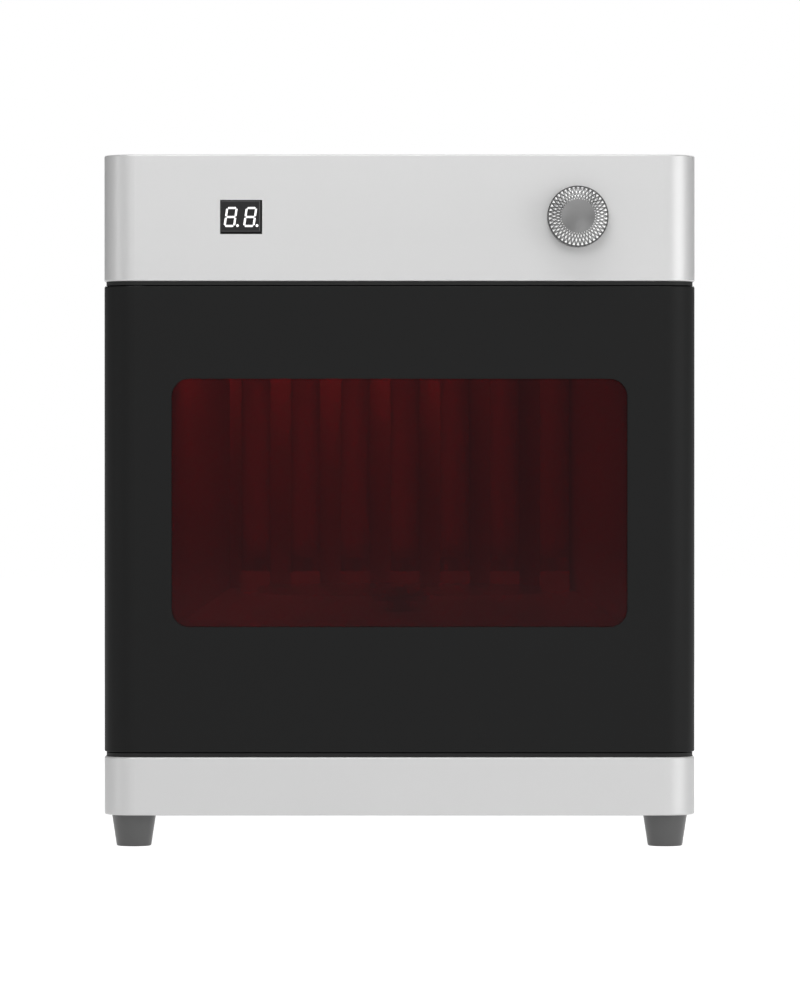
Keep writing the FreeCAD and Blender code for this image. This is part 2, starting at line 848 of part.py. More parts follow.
# Reflector liner
def make_liner():
    """Five bright plates that taper from the frame opening to the back wall."""
    y0 = frame_back_y
    y1 = liner_back_y
    front = liner_front_half
    back = liner_back_half
    left = [Vector(-front, y0, floor_front_z), Vector(-back, y1, floor_back_z),
            Vector(-back, y1, ceiling_z), Vector(-front, y0, ceiling_z)]
    side = slab(left, Vector(-liner_depth, liner_side_draft, 0), liner_thickness)
    save("liner_left", side)
    save("liner_right", mirrored(side))
    floor = slab([Vector(-front, y0, floor_front_z), Vector(front, y0, floor_front_z),
                  Vector(back, y1, floor_back_z), Vector(-back, y1, floor_back_z)],
                 Vector(0, liner_floor_draft, -liner_depth), liner_thickness)
    hole = rod("z", 0, platter_y, floor_hole_radius, floor_front_z - motor_height, floor_back_z)
    save("liner_floor", floor.cut(hole))
    ceiling = slab([Vector(-front, y0, ceiling_z), Vector(front, y0, ceiling_z),
                    Vector(back, y1, ceiling_z), Vector(-back, y1, ceiling_z)],
                   Vector(0, 0, 1), liner_thickness)
    save("liner_ceiling", ceiling)
    save("liner_back", box(-back, back, y1, y1 + liner_thickness, floor_back_z, ceiling_z))


def under_floor():
    """Everything below the sloping floor, used to cut the feet of what stands on it."""
    low = floor_front_z - liner_floor_draft
    profile = [(frame_back_y, low), (liner_back_y, low),
               (liner_back_y, floor_back_z), (frame_back_y, floor_front_z)]
    return prism("x", profile, 0, -half_width, half_width)


# Lamps
def make_lamps():
    caps = []
    sockets = []
    wedge = under_floor()
    half_x = lamp_socket_width / 2
    back = liner_back_y
    front = lamp_y - lamp_socket_depth / 2
    for index in range(lamp_count):
        x = (index - (lamp_count - 1) / 2) * lamp_pitch + lamp_shift
        glass_low = lamp_low + lamp_cap_length
        glass_top = lamp_top - lamp_cap_length
        tube = rod("z", x, lamp_y, lamp_radius, glass_low, glass_top)
        bore = rod("z", x, lamp_y, lamp_radius - lamp_wall, glass_low + lamp_wall, glass_top - lamp_wall)
        save("uv_lamp_%d" % (index + 1), tube.cut(bore))
        caps.append(rod("z", x, lamp_y, lamp_cap_radius, lamp_low, glass_low))
        caps.append(rod("z", x, lamp_y, lamp_cap_radius, glass_top, lamp_top))
        foot = box(x - half_x, x + half_x, front, back, floor_front_z, lamp_low)
        sockets.append(foot.cut(wedge))
        sockets.append(box(x - half_x, x + half_x, front, back, lamp_top, ceiling_z))
    save("lamp_end_caps", group(caps))
    save("lamp_sockets", group(sockets))


# Turntable
def make_turntable():
    top = platter_z + platter_thickness
    platter = rod("z", 0, platter_y, platter_radius, platter_z, top)
    platter = platter.makeFillet(edge_round, level_edges(platter, top))
    save("turntable_platter", platter.cut(rod("z", 0, platter_y, hub_boss_radius, platter_z, top)))
    profile = [(0, stem_z - drive_pin_length), (drive_pin_radius, stem_z - drive_pin_length),
               (drive_pin_radius, stem_z), (hub_stem_radius, stem_z), (hub_stem_radius, hub_z),
               (hub_flange_radius, hub_z), (hub_flange_radius, platter_z), (hub_boss_radius, platter_z),
               (hub_boss_radius, top), (0, top)]
    save("turntable_hub", turned("z", 0, platter_y, profile))

    bore = drive_pin_radius + running_gap
    bore_end = stem_z - drive_pin_length - thrust_gap
    low = motor_top - motor_height
    motor = rod("z", 0, platter_y, motor_radius, low, motor_top)
    motor = motor.makeFillet(edge_round, level_edges(motor, motor_top) + level_edges(motor, low))
    boss_top = motor_top + motor_boss_height
    motor = joined(motor, [rod("z", 0, platter_y, motor_boss_radius, motor_top - weld, boss_top)])
    save("turntable_motor", motor.cut(rod("z", 0, platter_y, bore, bore_end, boss_top)))

    half_x = bracket_width / 2
    y0 = platter_y - bracket_depth / 2
    y1 = platter_y + bracket_depth / 2
    sheet = bracket_sheet
    plate = box(-half_x, half_x, y0, y1, low - sheet, low)
    others = []
    for side in (-1, 1):
        inner = side * (half_x - sheet)
        outer = side * half_x
        toe = side * (half_x + bracket_foot)
        others.append(box(min(inner, outer), max(inner, outer), y0, y1, middle_z, low))
        others.append(box(min(inner, toe), max(inner, toe), y0, y1, middle_z, middle_z + sheet))
    save("motor_bracket", joined(plate, others))


# Power parts
def make_power_parts():
    x0 = supply_inset - half_width
    y0 = front_y + supply_setback
    corners = rectangle(x0, x0 + supply_width, y0, y0 + supply_depth)
    save("power_supply", prism("z", corners, supply_round, middle_z, middle_z + supply_height))
    ballasts = []
    floor_z = base_z + band_wall
    for index in range(ballast_count):
        y = front_y + ballast_setback + index * ballast_pitch
        corners = rectangle(-ballast_length / 2, ballast_length / 2, y, y + ballast_depth)
        ballasts.append(prism("z", corners, ballast_round, floor_z, floor_z + ballast_height))
    save("lamp_ballasts", group(ballasts))


# Fan
def make_fan():
    half = fan_size / 2
    y1 = back_y - band_wall
    y0 = y1 - fan_depth
    corners = rectangle(fan_x - half, fan_x + half, fan_z - half, fan_z + half)
    frame = prism("y", corners, fan_corner_radius, y0, y1)
    frame = frame.cut(rod("y", fan_x, fan_z, fan_bore_radius, y0, y1))
    strut_end = y0 + fan_strut_depth
    seat = rod("y", fan_x, fan_z, fan_hub_radius, y0, strut_end)
    struts = []
    for index in range(fan_strut_count):
        strut = box(fan_x - fan_strut_width / 2, fan_x + fan_strut_width / 2, y0, strut_end,
                    fan_z, fan_z + fan_bore_radius + weld)
        strut.rotate(Vector(fan_x, 0, fan_z), AXES["y"], full_turn / fan_strut_count * index)
        struts.append(strut)
    hub_y = strut_end + thrust_gap
    hub_end = hub_y + fan_hub_length
    shaft = rod("y", fan_x, fan_z, fan_shaft_radius, y0, hub_end - fan_hub_wall)
    frame = joined(frame, [seat, shaft] + struts)
    holes = [rod("y", x, z, screw_radius, y0, y1) for x, z in fan_screw_places()]
    save("fan_frame", frame.cut(holes))

    hub = rod("y", fan_x, fan_z, fan_hub_radius, hub_y, hub_end)
    ring = rod("y", fan_x, fan_z, fan_blade_radius, hub_y, hub_end)
    middle = (hub_y + hub_end) / 2
    blades = []
    for index in range(fan_blade_count):
        blade = box(-fan_blade_width / 2, fan_blade_width / 2,
                    -fan_blade_thickness / 2, fan_blade_thickness / 2,
                    fan_hub_radius - weld, fan_bore_radius + weld)
        blade.rotate(Vector(0, 0, 0), AXES["z"], fan_blade_angle)
        blade.translate(Vector(fan_x, middle, fan_z))
        blade.rotate(Vector(fan_x, 0, fan_z), AXES["y"], full_turn / fan_blade_count * index)
        blades.append(blade.common(ring))
    rotor = joined(hub, blades)
    bore = fan_shaft_radius + running_gap
    save("fan_rotor", rotor.cut(rod("y", fan_x, fan_z, bore, hub_y, hub_end - fan_hub_wall + thrust_gap)))


def make_fan_guard():
    """Wire guard: round rings on two crossed bars, with an eye at each screw."""
    centre = Vector(fan_x, back_y + guard_ring_lift, fan_z)
    wires = [Part.makeTorus(radius, guard_wire_radius, centre, AXES["y"]) for radius in guard_ring_radii]
    reach = math.hypot(fan_screw_pitch, fan_screw_pitch) / 2 - screw_head_radius - slip
    for turn in (guard_bar_angle, -guard_bar_angle):
        bar = rod("z", fan_x, back_y + guard_bar_lift, guard_wire_radius, fan_z - reach, fan_z + reach)
        bar.rotate(Vector(fan_x, 0, fan_z), AXES["y"], turn)
        wires.append(bar)
    for x, z in fan_screw_places():
        centre = Vector(x, back_y + guard_wire_radius, z)
        wires.append(Part.makeTorus(guard_eye_radius, guard_wire_radius, centre, AXES["y"]))
    save("fan_guard", joined(wires[0], wires[1:]))


def make_housing_screws():
    screws = [housing_screw(x, z, back_y) for x, z in screw_places()]
    seat = back_y + 2 * guard_wire_radius
    screws += [housing_screw(x, z, seat) for x, z in fan_screw_places()]
    save("housing_screws", group(screws))


# Mains inlet
def make_inlet():
    """Snap-in inlet with a three-blade socket, a rocker above it and a fuse drawer below."""
    half_x = inlet_flange_width / 2
    half_z = inlet_flange_height / 2
    corners = rectangle(inlet_x - half_x, inlet_x + half_x, inlet_z - half_z, inlet_z + half_z)
    flange = prism("y", corners, inlet_flange_radius, back_y, flange_back_y)
    half_x = inlet_body_width / 2
    half_z = inlet_body_height / 2
    body_y = back_y - inlet_body_depth
    housing = joined(flange, [box(inlet_x - half_x, inlet_x + half_x, body_y, back_y + weld,
                                  inlet_z - half_z, inlet_z + half_z)])
    socket_z = inlet_z + socket_lift
    half_x = socket_width / 2
    half_z = socket_height / 2
    socket_y = flange_back_y - socket_depth
    corners = [(inlet_x - half_x, socket_z - half_z), (inlet_x + half_x, socket_z - half_z),
               (inlet_x + half_x, socket_z + half_z - socket_bevel),
               (inlet_x + half_x - socket_bevel, socket_z + half_z),
               (inlet_x - half_x + socket_bevel, socket_z + half_z),
               (inlet_x - half_x, socket_z + half_z - socket_bevel)]
    cuts = [prism("y", corners, 0, socket_y, flange_back_y)]
    rocker_z = inlet_z + rocker_lift
    half_x = rocker_slot_width / 2
    half_z = rocker_slot_height / 2
    cuts.append(box(inlet_x - half_x, inlet_x + half_x, flange_back_y - rocker_slot_depth, flange_back_y,
                    rocker_z - half_z, rocker_z + half_z))
    pivot_y = flange_back_y - rocker_pivot_depth - rocker_trunnion_radius
    trunnion_half = rocker_width / 2 + rocker_trunnion_length
    cuts.append(rod("x", pivot_y, rocker_z, rocker_trunnion_radius + running_gap,
                    inlet_x - trunnion_half - slip, inlet_x + trunnion_half + slip))
    drawer_z = inlet_z - drawer_drop
    half_x = drawer_width / 2 + drawer_gap
    half_z = drawer_height / 2 + drawer_gap
    cuts.append(box(inlet_x - half_x, inlet_x + half_x, flange_back_y - drawer_slot_depth, flange_back_y,
                    drawer_z - half_z, drawer_z + half_z))
    save("inlet_housing", housing.cut(cuts))

    blades = []
    for x, z in ((-blade_pitch, -blade_drop), (blade_pitch, -blade_drop), (0.0, earth_lift)):
        x0 = inlet_x + x - blade_thickness / 2
        z0 = socket_z + z - blade_height / 2
        blades.append(box(x0, x0 + blade_thickness, socket_y, socket_y + blade_length,
                          z0, z0 + blade_height))
    save("inlet_pins", group(blades))

    profile = [(pivot_y + rocker_rise, rocker_z - rocker_half_height), (pivot_y + rocker_waist, rocker_z),
               (pivot_y + rocker_rise, rocker_z + rocker_half_height),
               (pivot_y - rocker_root, rocker_z + rocker_half_height - rocker_taper),
               (pivot_y - rocker_root, rocker_z - rocker_half_height + rocker_taper)]
    half_x = rocker_width / 2
    rocker = prism("x", profile, 0, inlet_x - half_x, inlet_x + half_x)
    rocker = joined(rocker, [rod("x", pivot_y, rocker_z, rocker_trunnion_radius, inlet_x - trunnion_half,
                                 inlet_x + trunnion_half)])
    rocker.rotate(Vector(0, pivot_y, rocker_z), AXES["x"], -rocker_tilt)
    save("power_rocker", rocker)

    half_x = drawer_width / 2
    half_z = drawer_height / 2
    drawer = box(inlet_x - half_x, inlet_x + half_x, flange_back_y - drawer_length, flange_back_y,
                 drawer_z - half_z, drawer_z + half_z)
    lip = box(inlet_x - half_x, inlet_x + half_x, flange_back_y - weld, flange_back_y + drawer_lip_reach,
              drawer_z + half_z - drawer_lip_height, drawer_z + half_z)
    save("fuse_drawer", joined(drawer, [lip]))


os.makedirs("parts", exist_ok=True)
make_feet()
make_base_tray()
make_deck("lower_deck_plate", lower_deck_z)
make_deck("upper_deck_plate", upper_deck_z)
make_top_housing()
make_control_parts()
make_encoder()
make_knob()
make_door()
make_window()
make_catches()
make_hinge_pins()
make_posts()
make_front_frame()
make_side_panels()
make_rear_panel()
make_liner()
make_lamps()
make_turntable()
make_power_parts()
make_fan()
make_fan_guard()
make_housing_screws()
make_inlet()
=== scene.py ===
import json
import math

import bpy
from mathutils import Matrix, Vector


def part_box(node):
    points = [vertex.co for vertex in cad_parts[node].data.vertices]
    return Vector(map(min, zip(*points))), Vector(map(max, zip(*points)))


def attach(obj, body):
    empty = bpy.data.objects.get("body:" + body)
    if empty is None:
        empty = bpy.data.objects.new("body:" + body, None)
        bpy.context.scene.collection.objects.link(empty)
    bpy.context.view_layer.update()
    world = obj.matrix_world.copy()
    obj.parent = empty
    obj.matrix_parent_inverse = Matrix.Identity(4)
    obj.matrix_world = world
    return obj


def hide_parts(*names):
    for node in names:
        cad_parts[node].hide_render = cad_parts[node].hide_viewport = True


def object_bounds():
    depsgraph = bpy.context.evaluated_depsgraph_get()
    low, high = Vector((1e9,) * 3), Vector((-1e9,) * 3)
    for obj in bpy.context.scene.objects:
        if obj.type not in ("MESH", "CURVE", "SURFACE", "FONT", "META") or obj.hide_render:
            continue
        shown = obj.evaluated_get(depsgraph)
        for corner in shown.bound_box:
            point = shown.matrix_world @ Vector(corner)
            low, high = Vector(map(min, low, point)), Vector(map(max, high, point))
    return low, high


bl_info = {
    "name": "UV curing chamber finish",
    "version": (1, 0, 0),
    "blender": (4, 5, 0),
    "location": "View3D > Sidebar > Curing chamber",
    "description": "Paints, plastics, knurled knob, display and studio for a bench-top UV curing chamber",
    "category": "Object",
}

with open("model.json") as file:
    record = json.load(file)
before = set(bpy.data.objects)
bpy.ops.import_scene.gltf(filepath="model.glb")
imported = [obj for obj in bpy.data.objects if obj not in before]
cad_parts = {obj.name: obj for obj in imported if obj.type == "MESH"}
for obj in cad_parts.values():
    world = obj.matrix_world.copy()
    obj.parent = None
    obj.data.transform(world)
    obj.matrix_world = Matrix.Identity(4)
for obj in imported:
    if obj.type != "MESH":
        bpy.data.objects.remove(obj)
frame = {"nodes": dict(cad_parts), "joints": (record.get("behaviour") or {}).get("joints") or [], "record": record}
cad_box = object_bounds()
MM = 0.001
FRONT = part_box("top_housing")[0].y
KNOB_LOW, KNOB_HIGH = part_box("knob")
KNOB_CENTRE = ((KNOB_LOW.x + KNOB_HIGH.x) / 2, 0.0, (KNOB_LOW.z + KNOB_HIGH.z) / 2)
DISPLAY_LOW, DISPLAY_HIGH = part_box("display_module")
RED = (0.20, 0.012, 0.016, 1.0)


# Sizes and colours that a user may change
class CuringColours(bpy.types.PropertyGroup):
    """Colours of the paints and plastics."""

    silver: bpy.props.FloatVectorProperty(
        name="Silver paint", description="Satin coat of the top housing and the base tray",
        default=(0.79, 0.79, 0.79), size=3, min=0.0, max=1.0, subtype="COLOR")
    charcoal: bpy.props.FloatVectorProperty(
        name="Charcoal paint", description="Coat of the door, the posts and the panels",
        default=(0.0108, 0.0110, 0.0110), size=3, min=0.0, max=1.0, subtype="COLOR")
    window: bpy.props.FloatVectorProperty(
        name="Window tint", description="What the acrylic window lets through, on one pass",
        default=(0.36, 0.045, 0.052), size=3, min=0.0, max=1.0, subtype="COLOR")
    window_body: bpy.props.FloatVectorProperty(
        name="Window body", description="Colour of the acrylic itself",
        default=(0.050, 0.0110, 0.0130), size=3, min=0.0, max=1.0, subtype="COLOR")
    rubber: bpy.props.FloatVectorProperty(
        name="Rubber", description="Colour of the four feet",
        default=(0.090, 0.090, 0.090), size=3, min=0.0, max=1.0, subtype="COLOR")
    knob: bpy.props.FloatVectorProperty(
        name="Knob metal", description="Colour of the turned aluminium knob",
        default=(0.55, 0.55, 0.55), size=3, min=0.0, max=1.0, subtype="COLOR")
    digits: bpy.props.FloatVectorProperty(
        name="Digits", description="Light of the display segments",
        default=(1.0, 1.0, 1.0), size=3, min=0.0, max=1.0, subtype="COLOR")


class CuringKnob(bpy.types.PropertyGroup):
    """Sizes of the control knob."""

    grooves: bpy.props.IntProperty(
        name="Grooves", description="Knurl grooves in each of the two crossing directions", default=42, min=12)
    facets: bpy.props.IntProperty(
        name="Steps per groove", description="Mesh steps round the knob for each groove", default=12, min=4)
    lead: bpy.props.FloatProperty(
        name="Groove lead", description="Turn of a groove for each step in the logarithm of the radius",
        default=0.42)
    depth: bpy.props.FloatProperty(
        name="Groove depth", description="Depth of the knurl", default=0.75 * MM, unit="LENGTH")
    crown: bpy.props.FloatProperty(
        name="Crown radius", description="Outer radius of the sloping knurled face", default=14.7 * MM, unit="LENGTH")
    dish: bpy.props.FloatProperty(
        name="Dish radius", description="Radius of the smooth hollow in the middle", default=8.6 * MM, unit="LENGTH")
    dish_depth: bpy.props.FloatProperty(
        name="Dish depth", description="Depth of the hollow", default=1.6 * MM, unit="LENGTH")
    collar: bpy.props.FloatProperty(
        name="Collar length", description="Length of the straight side", default=8.7 * MM, unit="LENGTH")
    wall: bpy.props.FloatProperty(
        name="Wall", description="Wall of the skirt behind the knob", default=1.8 * MM, unit="LENGTH")
    cavity: bpy.props.FloatProperty(
        name="Cavity depth", description="Depth of the hollow that clears the nut", default=5.0 * MM, unit="LENGTH")
    bore: bpy.props.FloatProperty(
        name="Bore radius", description="Radius of the hole for the shaft", default=3.05 * MM, unit="LENGTH")


class CuringDisplay(bpy.types.PropertyGroup):
    """Sizes of the two-digit display."""

    height: bpy.props.FloatProperty(
        name="Digit height", description="Height of a digit", default=10.1 * MM, unit="LENGTH")
    width: bpy.props.FloatProperty(
        name="Digit width", description="Width of a digit", default=5.8 * MM, unit="LENGTH")
    stroke: bpy.props.FloatProperty(
        name="Stroke", description="Width of a segment", default=1.02 * MM, unit="LENGTH")
    gap: bpy.props.FloatProperty(
        name="Gap", description="Gap between two segments", default=0.50 * MM, unit="LENGTH")
    pitch: bpy.props.FloatProperty(
        name="Pitch", description="Distance between the digits", default=9.87 * MM, unit="LENGTH")
    slant: bpy.props.FloatProperty(
        name="Slant", description="Lean of the digits", default=math.radians(8.5), subtype="ANGLE")
    inset: bpy.props.FloatProperty(
        name="First digit", description="Middle of the first digit, from the left edge of the display",
        default=5.2 * MM, unit="LENGTH")
    dot: bpy.props.FloatProperty(
        name="Dot radius", description="Radius of the point after each digit", default=0.70 * MM, unit="LENGTH")
    dot_offset: bpy.props.FloatProperty(
        name="Dot offset", description="Point from the middle of its digit", default=3.45 * MM, unit="LENGTH")
    right_gap: bpy.props.FloatProperty(
        name="Right gap", description="Dark gap to the right of the face", default=0.8 * MM, unit="LENGTH")
    low_gap: bpy.props.FloatProperty(
        name="Lower gap", description="Dark gap under the face", default=1.0 * MM, unit="LENGTH")
    bevel: bpy.props.FloatProperty(
        name="Bevel", description="Width of the bevelled edge of the face", default=0.65 * MM, unit="LENGTH")


class CuringStage(bpy.types.PropertyGroup):
    """Camera and lamps."""

    distance: bpy.props.FloatProperty(
        name="Camera distance", description="Camera to the front of the door", default=3.0, unit="LENGTH")
    eye: bpy.props.FloatProperty(
        name="Camera height", description="Camera above the table", default=0.193, unit="LENGTH")
    aim: bpy.props.FloatProperty(
        name="Aim height", description="Height on the front that the picture is centred on", default=0.17575,
        unit="LENGTH")
    aim_across: bpy.props.FloatProperty(
        name="Aim across", description="Place across the front that the picture is centred on", default=0.25 * MM,
        unit="LENGTH")
    view_height: bpy.props.FloatProperty(
        name="Picture height", description="Height of the picture at the front of the door", default=0.5059,
        unit="LENGTH")
    key_power: bpy.props.FloatProperty(
        name="Key power", description="Power of the main light, above and in front", default=6.6, unit="POWER")
    top_power: bpy.props.FloatProperty(
        name="Top power", description="Power of the long light overhead", default=9.0, unit="POWER")
    right_power: bpy.props.FloatProperty(
        name="Right power", description="Power of the tall softbox to the right", default=8.2, unit="POWER")
    left_power: bpy.props.FloatProperty(
        name="Left power", description="Power of the tall strip light to the left", default=1.8, unit="POWER")
    back_power: bpy.props.FloatProperty(
        name="Back power", description="Power of the large light behind the object", default=9.0, unit="POWER")
    fill_power: bpy.props.FloatProperty(
        name="Fill power", description="Power of the large light behind the camera", default=10.2, unit="POWER")
    chamber_power: bpy.props.FloatProperty(
        name="Chamber power", description="Power of the soft light inside the chamber", default=0.22,
        unit="POWER")
    surround: bpy.props.FloatProperty(
        name="Surround", description="Level of the room light", default=0.25, min=0.0)
    mirror: bpy.props.FloatProperty(
        name="Dark studio", description="Level of the room as mirrored from the front", default=0.10, min=0.0)


# Shader maths
class Wire:
    """Output of a node. Arithmetic on it adds the Math node that does the same."""

    def __init__(self, nodes, socket):
        self.nodes = nodes
        self.socket = socket

    def __add__(self, other):
        return self.nodes.maths("ADD", self, other)

    def __sub__(self, other):
        return self.nodes.maths("SUBTRACT", self, other)

    def __rsub__(self, other):
        return self.nodes.maths("SUBTRACT", other, self)

    def __mul__(self, other):
        return self.nodes.maths("MULTIPLY", self, other)

    def __lt__(self, other):
        return self.nodes.maths("LESS_THAN", self, other)

    def __gt__(self, other):
        return self.nodes.maths("GREATER_THAN", self, other)

    __radd__ = __add__
    __rmul__ = __mul__


class Nodes:
    """Node tree of one material or of the world."""

    def __init__(self, owner):
        owner.use_nodes = True
        self.owner = owner
        self.tree = owner.node_tree
        self.tree.nodes.clear()

    def node(self, kind, settings=None, inputs=None, output=0):
        """Adds a node, sets it up, then fills its sockets with values or wires."""
        made = self.tree.nodes.new(kind)
        for key, value in (settings or {}).items():
            if key == "stops":
                for place, shade in value:
                    stop = made.color_ramp.elements.new(place)
                    stop.color = (shade, shade, shade, 1.0)
                for _ in range(2):
                    made.color_ramp.elements.remove(made.color_ramp.elements[0])
            else:
                setattr(made, key, value)
        for key, value in (inputs or {}).items():
            if isinstance(value, Wire):
                self.tree.links.new(value.socket, made.inputs[key])
            else:
                made.inputs[key].default_value = value
        return Wire(self, made.outputs[output] if made.outputs else None)

    def maths(self, operation, first, second):
        return self.node("ShaderNodeMath", {"operation": operation}, {0: first, 1: second})

    def place(self, stretch=(1.0, 1.0, 1.0)):
        """Place on the piece in metres, stretched along the axes where a pattern runs one way."""
        spot = self.node("ShaderNodeTexCoord", output="Object")
        return self.node("ShaderNodeMapping", {"vector_type": "POINT"}, {"Vector": spot, "Scale": stretch})

    def noise(self, size, detail=2.0, stretch=(1.0, 1.0, 1.0)):
        """Cloudy pattern from 0 to 1, with patches of about the given size in metres."""
        return self.node("ShaderNodeTexNoise", None,
                         {"Vector": self.place(stretch), "Scale": 1.0 / size, "Detail": detail})

    def tone(self, factor, colour, spread):
        """The colour, a little darker or lighter with the factor."""
        low = [channel * (1.0 - spread) for channel in colour[:3]] + [1.0]
        high = [min(1.0, channel * (1.0 + spread)) for channel in colour[:3]] + [1.0]
        return self.mix(factor, low, high)

    def mix(self, factor, first, second):
        settings = {"data_type": "RGBA"}
        return self.node("ShaderNodeMix", settings, {0: factor, 6: first, 7: second}, output=2)

    def bump(self, height, depth, strength=1.0):
        return self.node("ShaderNodeBump", None, {"Height": height, "Distance": depth, "Strength": strength})

    def surface(self, colour, roughness, metallic=0.0, normal=None, **others):
        inputs = {"Base Color": colour, "Roughness": roughness, "Metallic": metallic}
        if normal is not None:
            inputs["Normal"] = normal
        inputs.update(others)
        return self.node("ShaderNodeBsdfPrincipled", None, inputs)

    def done(self, surface):
        self.node("ShaderNodeOutputMaterial", None, {"Surface": surface})
        return self.owner


def new_finish(name):
    return Nodes(bpy.data.materials.new(name))


def solid(colour):
    return (colour[0], colour[1], colour[2], 1.0)


# Finishes
def powder_coat(name, colour, roughness, metallic=0.0, sheen=0.5, grain=0.6 * MM, relief=0.006 * MM):
    """Sprayed coat with a fine orange-peel grain and faint clouds."""
    nodes = new_finish(name)
    fine = nodes.noise(grain, 3.0)
    clouds = nodes.noise(60 * MM, 2.0)
    flake = nodes.noise(0.25 * MM, 1.0)
    shade = nodes.tone(clouds * 0.6 + flake * 0.4, colour, 0.03)
    rough = fine * 0.08 + (roughness - 0.04)
    relief_normal = nodes.bump(fine, relief)
    return nodes.done(nodes.surface(shade, rough, metallic, relief_normal, **{"Specular IOR Level": sheen}))


def moulded(name, colour, roughness, grain=0.5 * MM, relief=0.01 * MM, sheen=0.4):
    """Moulded plastic or rubber with a fine eroded grain."""
    nodes = new_finish(name)
    fine = nodes.noise(grain, 4.0)
    clouds = nodes.noise(12 * MM, 2.0)
    shade = nodes.tone(clouds, colour, 0.08)
    rough = fine * 0.12 + (roughness - 0.06)
    return nodes.done(nodes.surface(shade, rough, 0.0, nodes.bump(fine, relief), **{"Specular IOR Level": sheen}))


def metal(name, colour, roughness, grain=0.4 * MM, stretch=(1.0, 1.0, 1.0), metallic=1.0, spread=0.08):
    """Bare metal with a brushed or rolled grain along one way."""
    nodes = new_finish(name)
    lines = nodes.noise(grain, 3.0, stretch)
    clouds = nodes.noise(20 * MM, 2.0)
    shade = nodes.tone(clouds, colour, spread)
    rough = lines * 0.16 + (roughness - 0.08)
    return nodes.done(nodes.surface(shade, rough, metallic, nodes.bump(lines, 0.003 * MM)))


def tinted_pane(name, tint, body, clear_share, roughness):
    """Clear sheet that tints what lies behind it and shines in front."""
    nodes = new_finish(name)
    through = nodes.node("ShaderNodeBsdfTransparent", None, {"Color": tint})
    waves = nodes.noise(40 * MM, 1.0)
    gloss = nodes.surface(nodes.tone(waves, body, 0.06), roughness, 0.0, **{"Specular IOR Level": 0.16})
    return nodes.done(nodes.node("ShaderNodeMixShader", None, {0: 1.0 - clear_share, 1: through, 2: gloss}))


def frosted_tube(name, low, high):
    """Frosted lamp glass that darkens towards the electrodes."""
    nodes = new_finish(name)
    split = nodes.node("ShaderNodeSeparateXYZ", None, {0: nodes.place()}, output=2)
    middle = (low + high) / 2
    reach = (high - low) / 2
    from_middle = nodes.node("ShaderNodeMath", {"operation": "ABSOLUTE"}, {0: (split - middle) * (1.0 / reach)})
    ends = nodes.node("ShaderNodeValToRGB", {"stops": [(0.0, 0.0), (0.86, 0.0), (0.97, 1.0)]}, {0: from_middle})
    frost = nodes.noise(1.5 * MM, 3.0)
    glass = nodes.tone(frost, (0.50, 0.51, 0.54), 0.03)
    shade = nodes.mix(ends, glass, (0.28, 0.27, 0.26, 1.0))
    return nodes.done(nodes.surface(shade, frost * 0.1 + 0.35, 0.0))


def circuit_board(name):
    """Green solder mask with lighter tracks and tinned pads."""
    nodes = new_finish(name)
    cells = nodes.node("ShaderNodeTexVoronoi", {"distance": "MANHATTAN", "feature": "F1"},
                       {"Vector": nodes.place(), "Scale": 260.0})
    tracks = nodes.node("ShaderNodeTexBrick", None,
                        {"Vector": nodes.place((90.0, 90.0, 90.0)), "Color1": (0, 0, 0, 1), "Color2": (0.1, 0.1, 0.1, 1),
                         "Mortar": (1, 1, 1, 1), "Scale": 1.0, "Mortar Size": 0.02})
    mask = nodes.mix(tracks, (0.010, 0.085, 0.035, 1.0), (0.020, 0.150, 0.060, 1.0))
    pads = cells < 0.16
    shade = nodes.mix(pads, mask, (0.62, 0.62, 0.60, 1.0))
    return nodes.done(nodes.surface(shade, 0.42 - pads * 0.12, pads * 0.9))


def dress(slot, material):
    """Gives a material to every carried-over node of one finish."""
    for row in frame["record"]["subparts"]:
        if row["material_slot"] == slot:
            paint(frame["nodes"][row["node"]], material)


def paint(piece, material):
    piece.data.materials.clear()
    piece.data.materials.append(material)


# Modelling steps
def fresh():
    """Back to object mode with nothing selected, so that the next step acts on nothing else."""
    if bpy.context.object is not None and bpy.context.object.mode != "OBJECT":
        bpy.ops.object.mode_set(mode="OBJECT")
    bpy.ops.object.select_all(action="DESELECT")


def take(name):
    """Names the piece just added and writes its place into its mesh."""
    piece = bpy.context.object
    piece.name = name
    piece.data.name = name
    bpy.ops.object.transform_apply(location=True, rotation=True, scale=True)
    return piece


def edit(piece):
    fresh()
    piece.select_set(True)
    bpy.context.view_layer.objects.active = piece
    bpy.ops.object.mode_set(mode="EDIT")


def choose(piece, test, kind="VERT"):
    """In edit mode, selects the corners or faces whose middle passes a test."""
    bpy.ops.mesh.select_mode(type=kind)
    bpy.ops.mesh.select_all(action="DESELECT")
    bpy.ops.object.mode_set(mode="OBJECT")
    if kind == "VERT":
        for vertex in piece.data.vertices:
            vertex.select = test(vertex.co)
    else:
        for face in piece.data.polygons:
            face.select = test(face.center)
    bpy.ops.object.mode_set(mode="EDIT")


def step_ring(centre, along, scale):
    """Pulls a new ring out of the selected one along Y, and widens or narrows it about its centre."""
    bpy.ops.mesh.extrude_region_move(TRANSFORM_OT_translate={"value": (0.0, along, 0.0)})
    if scale != 1.0:
        bpy.ops.transform.resize(value=(scale, 1.0, scale), center_override=centre)


def finish_modifier(piece, kind, **settings):
    """Adds a modifier and applies it."""
    fresh()
    piece.select_set(True)
    bpy.context.view_layer.objects.active = piece
    modifier = piece.modifiers.new(kind.lower(), kind)
    for key, value in settings.items():
        setattr(modifier, key, value)
    bpy.ops.object.modifier_apply(modifier=modifier.name)


def smooth(piece, angle):
    fresh()
    piece.select_set(True)
    bpy.context.view_layer.objects.active = piece
    bpy.ops.object.shade_smooth_by_angle(angle=angle)


